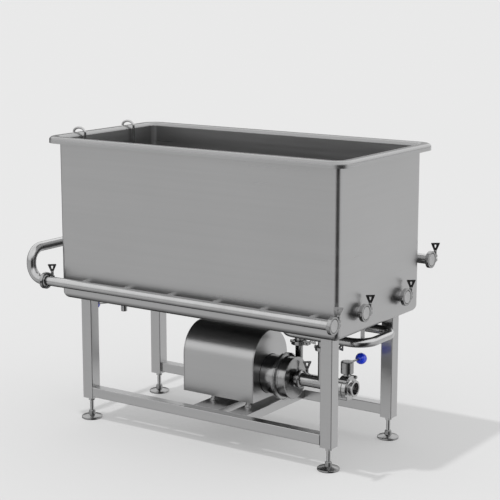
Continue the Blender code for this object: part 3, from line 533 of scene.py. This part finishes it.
# -------------------------------------------------------------------- outlet valve
end = 0.5454 - VALVE_X
left = tee_end + GAP - VALVE_X
bore = DRAIN_R - 0.002
body = lathe("valve_body", [(bore, left), (DRAIN_R, left), (DRAIN_R, -0.020), (0.030, -0.017), (0.0465, -0.017), (0.0465, -0.0015),
                            (0.043, -0.0015), (0.043, 0.0015), (0.0465, 0.0015), (0.0465, 0.017), (0.030, 0.017),
                            (DRAIN_R, 0.020), (DRAIN_R, end - 0.006), (0.031, end - 0.003), (0.031, end), (bore, end)],
             20, "tube", (VALVE_X, 0, PUMP_Z), TO_X, closed=True)
bm = bmesh.new()
for sy in (-1, 1):
    for sz in (-1, 1):
        made = add_lathe(bm, rod_profile(0.0065, -0.0205, 0.0205), 6, turn=TO_X)
        bmesh.ops.translate(bm, verts=made, vec=(0, sy * 0.0345, sz * 0.0345))
lugs = put("valve_bolts", to_mesh("valve_bolts", bm), at=(VALVE_X, 0, PUMP_Z))
neck = rod("valve_neck", 0.0125, 0.035, 0.0545, 12, at=(VALVE_X, 0, PUMP_Z))
join(body, lugs, neck)
cut(body, rod("stem_hole", 0.0065, 0.0, 0.08, 12, at=(VALVE_X, 0, PUMP_Z)))
disc = rod("valve_disc", bore - 0.0006, -0.002, 0.002, 24, "tube", (VALVE_X, 0, PUMP_Z), TO_X)
join(disc, rod("valve_stem", 0.006, -0.010, 0.0550, 12, at=(VALVE_X, 0, PUMP_Z)))
KNOB_Y, KNOB_Z = 0.1045, 0.3395
handle = lathe("valve_handle", [(0, 0.3053), (0.0230, 0.3053), (0.0245, 0.3070), (0.0245, 0.3490), (0.0222, 0.3520), (0, 0.3520)],
               20, "cast", (VALVE_X, 0, 0))
aim = Vector((0, KNOB_Y, KNOB_Z - 0.3455))
stop = aim * (1 - (KNOB_R + GAP) / aim.length)
join(handle, pipe("valve_lever", [(VALVE_X, 0.010, 0.3455 + aim.z * 0.1), (VALVE_X, stop.y, 0.3455 + stop.z)], 0.004, ring=1))


def knob(name, at):
    bm = bmesh.new()
    bmesh.ops.create_uvsphere(bm, u_segments=48, v_segments=32, radius=KNOB_R)
    put(name, to_mesh(name, bm), "blue", at)


knob("valve_knob", (VALVE_X, KNOB_Y, KNOB_Z))

# ------------------------------------------------------------------ discharge loop
loop_start = RISER_CLAMP + GAP / 2
loop_path = path_of([(RISER_X, RISER_Y, loop_start + 0.003), (RISER_X, RISER_Y, LOOP_Z), (RISER_X, LOOP_FRONT_Y, LOOP_Z),
                     (LOOP_X1, LOOP_FRONT_Y, LOOP_Z), (LOOP_X1, LOOP_REAR_Y, LOOP_Z), (FEED_X, LOOP_REAR_Y, LOOP_Z),
                     (FEED_X, REAR_Y, LOOP_Z), (FEED_X, REAR_Y, REAR_Z - HEADER_R - GAP)],
                    [0.060, 0.060, 0.070, 0.070, 0.060, 0.060], steps=4)
loop = pipe("discharge_loop", loop_path, LOOP_R, "tube", wall=0.0016, ring=2)
join(loop, lathe("loop_ferrule", [(LOOP_R - 0.001, 0), (0.0252, 0), (0.0252, 0.003), (LOOP_R - 0.001, 0.006)], 20,
                 at=(RISER_X, RISER_Y, loop_start), closed=True))
# A welded strap hangs the loop's right bend from the basin's floor.
box("loop_hanger", 0.592, 0.608, -0.0495, -0.0455, LOOP_Z + LOOP_R + GAP, FLOOR_Z - GAP, "satin")

# ---------------------------------------------------------------- small drain valve
small = lathe("small_drain", [(0.009, 0), (SMALL_R - 0.0015, 0), (SMALL_R, 0.0015), (SMALL_R, FLOOR_Z - GAP - SMALL_Z),
                              (0.009, FLOOR_Z - GAP - SMALL_Z)], 16, "tube", (SMALL_X, SMALL_Y, SMALL_Z), closed=True)
join(small, rod("small_boss", 0.008, 0.0105, 0.0195, 12, at=(SMALL_X, SMALL_Y, SMALL_STEM_Z), turn=TO_Y.inverted()))
cut(small, rod("small_stem_hole", 0.0045, 0.0, 0.03, 10, at=(SMALL_X, SMALL_Y, SMALL_STEM_Z), turn=TO_Y.inverted()))
pivot = (SMALL_X, SMALL_Y, SMALL_STEM_Z)
small_lever = rod("small_lever", 0.0042, 0.0, 0.0300, 10, "cast", pivot, TO_Y.inverted())
join(small_lever, rod("small_hub", 0.0095, 0.0215, 0.0325, 14, at=pivot, turn=TO_Y.inverted()),
     lathe("small_gate", rod_profile(0.0080, -0.0015, 0.0015), 14, at=pivot))
ball = Vector(SMALL_KNOB)
start = Vector((SMALL_X, ball.y, SMALL_STEM_Z))
aim = ball - start
join(small_lever, pipe("small_arm", [start + aim * 0.03, start + aim * (1 - (KNOB_R + GAP) / aim.length)], 0.0035, ring=1))
knob("small_knob", tuple(ball))

# --------------------------------------------------------------------- hooked rods
HOOK_TURN, HOOK_RISE, HOOK_TOP = 0.0293, 0.0195, 1.1585
for side, where in ((-1, "front"), (1, "rear")):
    arch = [Vector((HOOK_X - HOOK_TURN + HOOK_TURN * math.cos(math.pi * k / 10), side * HOOK_Y,
                    HOOK_TOP + HOOK_RISE * math.sin(math.pi * k / 10))) for k in range(11)]
    path = [Vector((HOOK_X, side * HOOK_Y, HOOK_BOTTOM))] + arch
    pipe("hook_rod_" + where, path, HOOK_R, "tube", at=(HOOK_X, side * HOOK_Y, HOOK_BOTTOM))

# ---------------------------------------------------------------- added detail
def turned(axis):
    """The turn that takes z to this axis."""
    return Vector((0, 0, 1)).rotation_difference(Vector(axis).normalized()).to_matrix().to_4x4()


def bead(name, at, axis, r, thick=0.0011, finish="weld", body=None):
    """A weld seam round a pipe: a thin ring whose section is a low circle."""
    steps = 8
    profile = [(r + thick * math.cos(math.tau * k / steps), thick * math.sin(math.tau * k / steps)) for k in range(steps)]
    return lathe(name, profile, 16, finish, at, turned(axis), closed=True)


def hex_bolt(name, at, axis, r=0.0050, h=0.0035, finish="tube"):
    """A hexagon head on a washer, standing out along its axis."""
    bm = bmesh.new()
    add_lathe(bm, [(0, -0.0005), (r * 1.5, -0.0005), (r * 1.5, 0.0010), (0, 0.0010)], 8)
    add_lathe(bm, [(0, 0.0011), (r * 1.12, 0.0011), (r * 1.12, h * 0.85), (r * 0.95, h), (0, h)], 6)
    return put(name, to_mesh(name, bm, turned(axis)), finish, at)


def seam(name, outline, plane, at, thick=0.0014):
    """A weld seam along a closed outline that lies across x or z."""
    points = [Vector((p[0], p[1], 0)) if plane == "z" else Vector((0, p[0], p[1])) for p in outline]
    points.append(points[0])
    return pipe(name, [Vector(at) + p for p in points], thick, "weld", ring=0)


for side, depth in ((-1, "front"), (1, "rear")):
    yc, zc = side * (LEG_Y + LEG_S / 2 - RAIL_W / 2), (RAIL_Z0 + RAIL_Z1) / 2
    for across in (-1, 1):
        seam(f"rail_seam_{depth}_{across + 1}", rounded(RAIL_W / 2, (RAIL_Z1 - RAIL_Z0) / 2, 0.003, 1), "x",
             (across * (LEG_X - LEG_S / 2 - 0.0002), yc, zc))
for sx in (-1, 1):
    for sy in (-1, 1):
        seam(f"leg_seam_{sx + 1}_{sy + 1}", rounded(LEG_S / 2, LEG_S / 2, 0.004, 1), "z",
             (sx * LEG_X, sy * LEG_Y, FLOOR_Z - 0.0006))

# Jets meet the wall and the headers in small welded collars.
for k, x in enumerate(JETS):
    bead(f"front_jet_seam_{k}", (x, -WALL_Y - 0.0006, FRONT_Z), (0, 1, 0), 0.0122, 0.0012)
    bead(f"rear_jet_seam_{k}", (x, WALL_Y + 0.0006, REAR_Z), (0, 1, 0), 0.0122, 0.0012)
for side in (-1, 1):
    bead(f"nozzle_seam_{side + 1}", (WALL_X + 0.0005, side * NOZZLE_Y, NOZZLE_Z), (1, 0, 0), HEADER_R + 0.0002, 0.0013)
bead("drain_seam", (DRAIN_X, 0, FLOOR_Z - 0.0005), (0, 0, 1), DRAIN_R + 0.0004, 0.0016)
bead("small_drain_seam", (SMALL_X, SMALL_Y, FLOOR_Z - 0.0006), (0, 0, 1), SMALL_R + 0.0004, 0.0013)
bead("feed_seam", (FEED_X, REAR_Y, REAR_Z - HEADER_R), (0, 0, 1), LOOP_R + 0.0005, 0.0014)
bead("rear_bend_seam", (rear_start - GAP / 2, REAR_Y, REAR_Z), (1, 0, 0), HEADER_R - 0.0002, 0.0009)
for k, (x, y, z, axis) in enumerate((
        (BEND_X + BEND_R, FRONT_Y, FRONT_Z, (1, 0, 0)), (BEND_X, FRONT_Y + BEND_R, REAR_Z, (0, 1, 0)),
        (BEND_X, REAR_Y - BEND_R, REAR_Z, (0, 1, 0)))):
    bead(f"bend_seam_{k}", (x, y, z), axis, HEADER_R - 0.0003, 0.0006 if k == 0 else 0.0003)
bead("valve_pipe_seam", (tee_end + GAP / 2, 0, PUMP_Z), (1, 0, 0), DRAIN_R - 0.0002, 0.0009)
bead("tee_seam", (DRAIN_X - 0.040, 0, PUMP_Z), (1, 0, 0), DRAIN_R - 0.0003, 0.0006)

# A band draws the pump's flanges together.
for k, x in enumerate((0.2300, 0.2392)):
    bead(f"band_edge_{k}", (x, 0, PUMP_Z), (1, 0, 0), 0.0925, 0.0007, "cast")

# The shroud's end plates are folded over.
for k, x in enumerate((SHROUD_X0 + 0.004, SHROUD_X1 - 0.004)):
    outline = d_outline(0.0)[2:]
    points = [Vector((x, p[1], -p[0])) for p in outline]
    points = [Vector((x, SHROUD_R, SHROUD_BOTTOM + 0.002))] + points + [Vector((x, -SHROUD_R, SHROUD_BOTTOM + 0.002))]
    pipe(f"shroud_fold_{k}", points, 0.0012, "satin", ring=0)
for k, x in enumerate(STUDS):
    for side in (-1, 1):
        lathe(f"stud_nut_{k}_{side + 1}", [(0.0092, RAIL_Z1 + 0.0006), (0.0140, RAIL_Z1 + 0.0006), (0.0140, RAIL_Z1 + 0.0070),
                                           (0.0092, RAIL_Z1 + 0.0070)], 6, "tube", (x, side * 0.108, 0), closed=True)

# Valve: bolt ends and a thin collar under the handle's head.
for sy in (-1, 1):
    for sz in (-1, 1):
        for sx in (-1, 1):
            hex_bolt(f"valve_bolt_{sy + 1}{sz + 1}{sx + 1}", (VALVE_X + sx * 0.0205, sy * 0.0345, PUMP_Z + sz * 0.0345), (sx, 0, 0), 0.0043, 0.0034)
lathe("handle_collar", [(0.0130, 0.3046), (0.0185, 0.3046), (0.0185, 0.3051), (0.0130, 0.3051)], 20, "cast", (VALVE_X, 0, 0),
      closed=True)

# --------------------------------------------------------------- meshes made final
ROUND_OFF = {"wing_nut": 0.0005, "_clamp": 0.0008, "motor_bar": 0.0012, "loop_hanger": 0.0006, "valve_handle": 0.0012}
bpy.context.view_layer.update()
graph = bpy.context.evaluated_depsgraph_get()
final = {name: bpy.data.meshes.new_from_object(entry[0].evaluated_get(graph)) for name, entry in PIECES.items()}
for name, (obj, finish, node, body) in PIECES.items():
    obj.modifiers.clear()
    obj.data = final[name]
    obj.data.name = name
    obj.data.set_sharp_from_angle(angle=math.radians(32))
    for key, width in ROUND_OFF.items():
        if key in name:
            step = obj.modifiers.new("edges", "BEVEL")
            step.width = width
            step.segments = 2
            step.limit_method = "ANGLE"
            step.angle_limit = math.radians(40)
            step.harden_normals = True
    even = obj.modifiers.new("even", "WEIGHTED_NORMAL")
    even.keep_sharp = True
    even.weight = 60
    obj.location = Vector(obj.location) + Vector(SHIFT)
for helper in list(TOOLS.objects):
    bpy.data.objects.remove(helper, do_unlink=True)
bpy.data.collections.remove(TOOLS)


# ----------------------------------------------------------------------- materials
def nodes_of(mat):
    mat.use_nodes = True
    tree = mat.node_tree
    return tree, tree.nodes["Principled BSDF"]


def add(tree, kind, **settings):
    node = tree.nodes.new(kind)
    for key, value in settings.items():
        if key in node.inputs:
            node.inputs[key].default_value = value
        else:
            setattr(node, key, value)
    return node


def metal(name, dark, light, rough, stretch, streak, bump=0.02, spread=0.06, edge=0.0008, metallic=1.0):
    """Ground stainless steel: long streaks and fine grain along one direction, slight clouding, rounded arrises."""
    mat = bpy.data.materials.new(name)
    tree, shader = nodes_of(mat)
    link = tree.links.new
    shader.inputs["Metallic"].default_value = metallic
    place = add(tree, "ShaderNodeTexCoord")
    long_map = add(tree, "ShaderNodeMapping")
    long_map.inputs["Scale"].default_value = streak
    fine_map = add(tree, "ShaderNodeMapping")
    fine_map.inputs["Scale"].default_value = stretch
    link(place.outputs["Object"], long_map.inputs["Vector"])
    link(place.outputs["Object"], fine_map.inputs["Vector"])
    streaks = add(tree, "ShaderNodeTexNoise")
    streaks.inputs["Scale"].default_value = 1.0
    streaks.inputs["Detail"].default_value = 5.0
    grain = add(tree, "ShaderNodeTexNoise")
    grain.inputs["Scale"].default_value = 1.0
    grain.inputs["Detail"].default_value = 3.0
    cloud = add(tree, "ShaderNodeTexNoise")
    cloud.inputs["Scale"].default_value = 3.1
    cloud.inputs["Detail"].default_value = 2.0
    link(long_map.outputs["Vector"], streaks.inputs["Vector"])
    link(fine_map.outputs["Vector"], grain.inputs["Vector"])
    link(place.outputs["Object"], cloud.inputs["Vector"])
    mix = add(tree, "ShaderNodeMix", data_type="FLOAT")
    mix.inputs[0].default_value = 0.45
    link(streaks.outputs["Fac"], mix.inputs[2])
    link(cloud.outputs["Fac"], mix.inputs[3])
    ramp = add(tree, "ShaderNodeValToRGB")
    ramp.color_ramp.elements[0].position, ramp.color_ramp.elements[0].color = 0.35, (*dark, 1)
    ramp.color_ramp.elements[1].position, ramp.color_ramp.elements[1].color = 0.65, (*light, 1)
    link(mix.outputs[0], ramp.inputs["Fac"])
    link(ramp.outputs["Color"], shader.inputs["Base Color"])
    span = add(tree, "ShaderNodeMapRange")
    span.inputs["To Min"].default_value = rough - spread
    span.inputs["To Max"].default_value = rough + spread
    link(streaks.outputs["Fac"], span.inputs["Value"])
    link(span.outputs["Result"], shader.inputs["Roughness"])
    soft = add(tree, "ShaderNodeBevel", samples=4)
    soft.inputs["Radius"].default_value = edge
    raise_ = add(tree, "ShaderNodeBump")
    raise_.inputs["Strength"].default_value = bump
    raise_.inputs["Distance"].default_value = 0.0004
    link(grain.outputs["Fac"], raise_.inputs["Height"])
    link(soft.outputs["Normal"], raise_.inputs["Normal"])
    link(raise_.outputs["Normal"], shader.inputs["Normal"])
    return mat


def grey(v):
    return (v, v, v * 1.004)


MATERIALS = {
    "satin": metal("satin_sheet", grey(0.405), grey(0.425), 0.30, (9, 9, 900), (1.1, 1.1, 70), 0.05),
    "tube": metal("ground_tube", grey(0.39), grey(0.44), 0.20, (700, 700, 700), (25, 25, 25), 0.02, 0.03),
    "cast": metal("polished_casting", grey(0.26), grey(0.34), 0.20, (900, 900, 900), (60, 60, 60), 0.05, 0.04),
    # Painted shade: a darker copy of the sheet steel, put on the basin's downward faces where shade falls under the
    # tank.
    "under": metal("unpolished_sheet", grey(0.11), grey(0.17), 0.42, (200, 200, 200), (12, 12, 12), 0.08),
    # Painted shade: a darker copy of the sheet steel, put on the rim's upward faces to tone down the light on its top.
    "rim": metal("rolled_rim", grey(0.265), grey(0.29), 0.26, (9, 9, 900), (1.1, 1.1, 70), 0.05),
    "pad": metal("turned_pad", grey(0.21), grey(0.30), 0.24, (60, 60, 900), (30, 30, 90), 0.05, 0.04),
    "weld": metal("weld_seam", grey(0.26), grey(0.42), 0.34, (500, 500, 500), (90, 90, 90), 0.30, 0.06),
}


def enamel(name, dark, light, rough, scale, bump, coat=0.0):
    mat = bpy.data.materials.new(name)
    tree, shader = nodes_of(mat)
    link = tree.links.new
    place = add(tree, "ShaderNodeTexCoord")
    noise = add(tree, "ShaderNodeTexNoise")
    noise.inputs["Scale"].default_value = scale
    noise.inputs["Detail"].default_value = 4.0
    link(place.outputs["Object"], noise.inputs["Vector"])
    ramp = add(tree, "ShaderNodeValToRGB")
    ramp.color_ramp.elements[0].position, ramp.color_ramp.elements[0].color = 0.3, (*dark, 1)
    ramp.color_ramp.elements[1].position, ramp.color_ramp.elements[1].color = 0.7, (*light, 1)
    link(noise.outputs["Fac"], ramp.inputs["Fac"])
    link(ramp.outputs["Color"], shader.inputs["Base Color"])
    span = add(tree, "ShaderNodeMapRange")
    span.inputs["To Min"].default_value = rough * 0.8
    span.inputs["To Max"].default_value = rough * 1.2
    link(noise.outputs["Fac"], span.inputs["Value"])
    link(span.outputs["Result"], shader.inputs["Roughness"])
    raise_ = add(tree, "ShaderNodeBump")
    raise_.inputs["Strength"].default_value = bump
    raise_.inputs["Distance"].default_value = 0.0003
    link(noise.outputs["Fac"], raise_.inputs["Height"])
    link(raise_.outputs["Normal"], shader.inputs["Normal"])
    shader.inputs["Coat Weight"].default_value = coat
    return mat


MATERIALS["dark"] = enamel("motor_enamel", (0.035, 0.036, 0.040), (0.055, 0.056, 0.060), 0.42, 180, 0.1)
MATERIALS["blue"] = enamel("ball_plastic", (0.011, 0.040, 0.68), (0.018, 0.062, 0.82), 0.14, 90, 0.02, 0.6)

for name, (obj, finish, node, body) in PIECES.items():
    obj.data.materials.clear()
    obj.data.materials.append(MATERIALS["pad" if name.startswith("foot_pad") else finish])
    if name == "tank_basin_skin":
        obj.data.materials.append(MATERIALS["under"])
        obj.data.materials.append(MATERIALS["rim"])
        for face in obj.data.polygons:
            # Painted shade: downward faces low on the basin take the darker copy of the sheet steel.
            if face.normal.z < -0.8 and face.center.z < FLOOR_Z + 0.02:
                face.material_index = 1
            # Painted shade: upward faces of the rim take the darker copy of the sheet steel.
            elif face.normal.z > 0.2 and face.center.z > RIM_Z - RIM_R:
                face.material_index = 2
    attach(obj, body)
    if node:
        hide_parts(node)

# --------------------------------------------------------------- floor, light, camera
bm = bmesh.new()
bmesh.ops.create_grid(bm, x_segments=2, y_segments=2, size=300)
floor_mesh = bpy.data.meshes.new("studio_floor")
bm.to_mesh(floor_mesh)
bm.free()
floor = bpy.data.objects.new("studio_floor", floor_mesh)
bpy.context.scene.collection.objects.link(floor)
floor_mat = bpy.data.materials.new("studio_floor")
tree, shader = nodes_of(floor_mat)
shader.inputs["Base Color"].default_value = (0.262, 0.262, 0.262, 1)
shader.inputs["Roughness"].default_value = 0.9
shader.inputs["Specular IOR Level"].default_value = 0.0
shader.inputs["Emission Color"].default_value = (1, 1, 1, 1)
shader.inputs["Emission Strength"].default_value = 0.305
floor_mat.cycles.emission_sampling = "NONE"
floor_mesh.materials.append(floor_mat)
floor.visible_glossy = False

world = bpy.data.worlds.new("studio")
bpy.context.scene.world = world
world.use_nodes = True
tree = world.node_tree
ground = tree.nodes["Background"]
place = add(tree, "ShaderNodeTexCoord")
split = add(tree, "ShaderNodeSeparateXYZ")
ramp = add(tree, "ShaderNodeValToRGB")
tree.links.new(place.outputs["Generated"], split.inputs["Vector"])
# Two broad soft walls of light stand front left and back right; between them the room is dark low down.
flat = add(tree, "ShaderNodeVectorMath", operation="MULTIPLY")
flat.inputs[1].default_value = (1, 1, 0)
unit = add(tree, "ShaderNodeVectorMath", operation="NORMALIZE")
toward = add(tree, "ShaderNodeVectorMath", operation="DOT_PRODUCT")
toward.inputs[1].default_value = (-0.564, -0.826, 0)
size = add(tree, "ShaderNodeMath", operation="ABSOLUTE")
wall = add(tree, "ShaderNodeMapRange", interpolation_type="SMOOTHSTEP")
wall.inputs["From Min"].default_value = 0.30
wall.inputs["From Max"].default_value = 0.72
wall.inputs["To Min"].default_value = 0.05
side = add(tree, "ShaderNodeMapRange")
side.inputs["From Min"].default_value = -1.0
side.inputs["To Min"].default_value = 1.15
side.inputs["To Max"].default_value = 1.0
high = add(tree, "ShaderNodeMapRange", interpolation_type="SMOOTHSTEP")
high.inputs["From Min"].default_value = 0.05
high.inputs["From Max"].default_value = 0.45
both = add(tree, "ShaderNodeMath", operation="MULTIPLY")
lit = add(tree, "ShaderNodeMath", operation="MAXIMUM")
tint = add(tree, "ShaderNodeVectorMath", operation="SCALE")
link = tree.links.new
link(place.outputs["Generated"], flat.inputs[0])
link(flat.outputs["Vector"], unit.inputs[0])
link(unit.outputs["Vector"], toward.inputs[0])
link(toward.outputs["Value"], size.inputs[0])
link(size.outputs[0], wall.inputs["Value"])
link(toward.outputs["Value"], side.inputs["Value"])
link(split.outputs["Z"], high.inputs["Value"])
link(wall.outputs["Result"], lit.inputs[0])
link(high.outputs["Result"], lit.inputs[1])
link(lit.outputs[0], both.inputs[0])
link(side.outputs["Result"], both.inputs[1])
link(ramp.outputs["Color"], tint.inputs[0])
link(both.outputs[0], tint.inputs["Scale"])
link(tint.outputs["Vector"], ground.inputs["Color"])
up = add(tree, "ShaderNodeMapRange")
up.inputs["From Min"].default_value = -1.0
tree.links.new(split.outputs["Z"], up.inputs["Value"])
tree.links.new(up.outputs["Result"], ramp.inputs["Fac"])
stops = ramp.color_ramp.elements
stops[0].position, stops[0].color = 0.0, (0.15, 0.15, 0.15, 1)
stops[1].position, stops[1].color = 1.0, (1.25, 1.25, 1.25, 1)
for at, tone in ((0.125, 0.40), (0.25, 0.78), (0.485, 0.79), (0.505, 0.34), (0.53, 0.90), (0.62, 1.25), (0.80, 1.40)):
    stop = stops.new(at)
    stop.color = (tone, tone, tone, 1)
ground.inputs["Strength"].default_value = 1.0
# Seen directly, the room is as pale as the floor.
pale = add(tree, "ShaderNodeBackground")
pale.inputs["Color"].default_value = (0.79, 0.79, 0.79, 1)
path_kind = add(tree, "ShaderNodeLightPath")
pick = add(tree, "ShaderNodeMixShader")
link(path_kind.outputs["Is Camera Ray"], pick.inputs[0])
link(ground.outputs["Background"], pick.inputs[1])
link(pale.outputs["Background"], pick.inputs[2])
link(pick.outputs["Shader"], tree.nodes["World Output"].inputs["Surface"])

sun_data = bpy.data.lights.new("key", "SUN")
sun_data.energy = 1.9
sun_data.angle = math.radians(2.0)
sun = bpy.data.objects.new("key", sun_data)
bpy.context.scene.collection.objects.link(sun)
sun.rotation_euler = Vector((0.1856, 0.2698, -1.0)).to_track_quat("-Z", "Y").to_euler()
sun.visible_glossy = False

camera_data = bpy.data.cameras.new("camera")
camera_data.sensor_width = 36
camera_data.lens = 106.30
camera_data.clip_end = 2000
camera = bpy.data.objects.new("camera", camera_data)
bpy.context.scene.collection.objects.link(camera)
camera.location = (3.2406 + SHIFT[0], -4.6566 + SHIFT[1], 1.8329)
camera.rotation_euler = (math.radians(90 - 11.0614), 0, math.radians(34.3036))
bpy.context.scene.camera = camera
bpy.context.scene.view_settings.view_transform = "Standard"
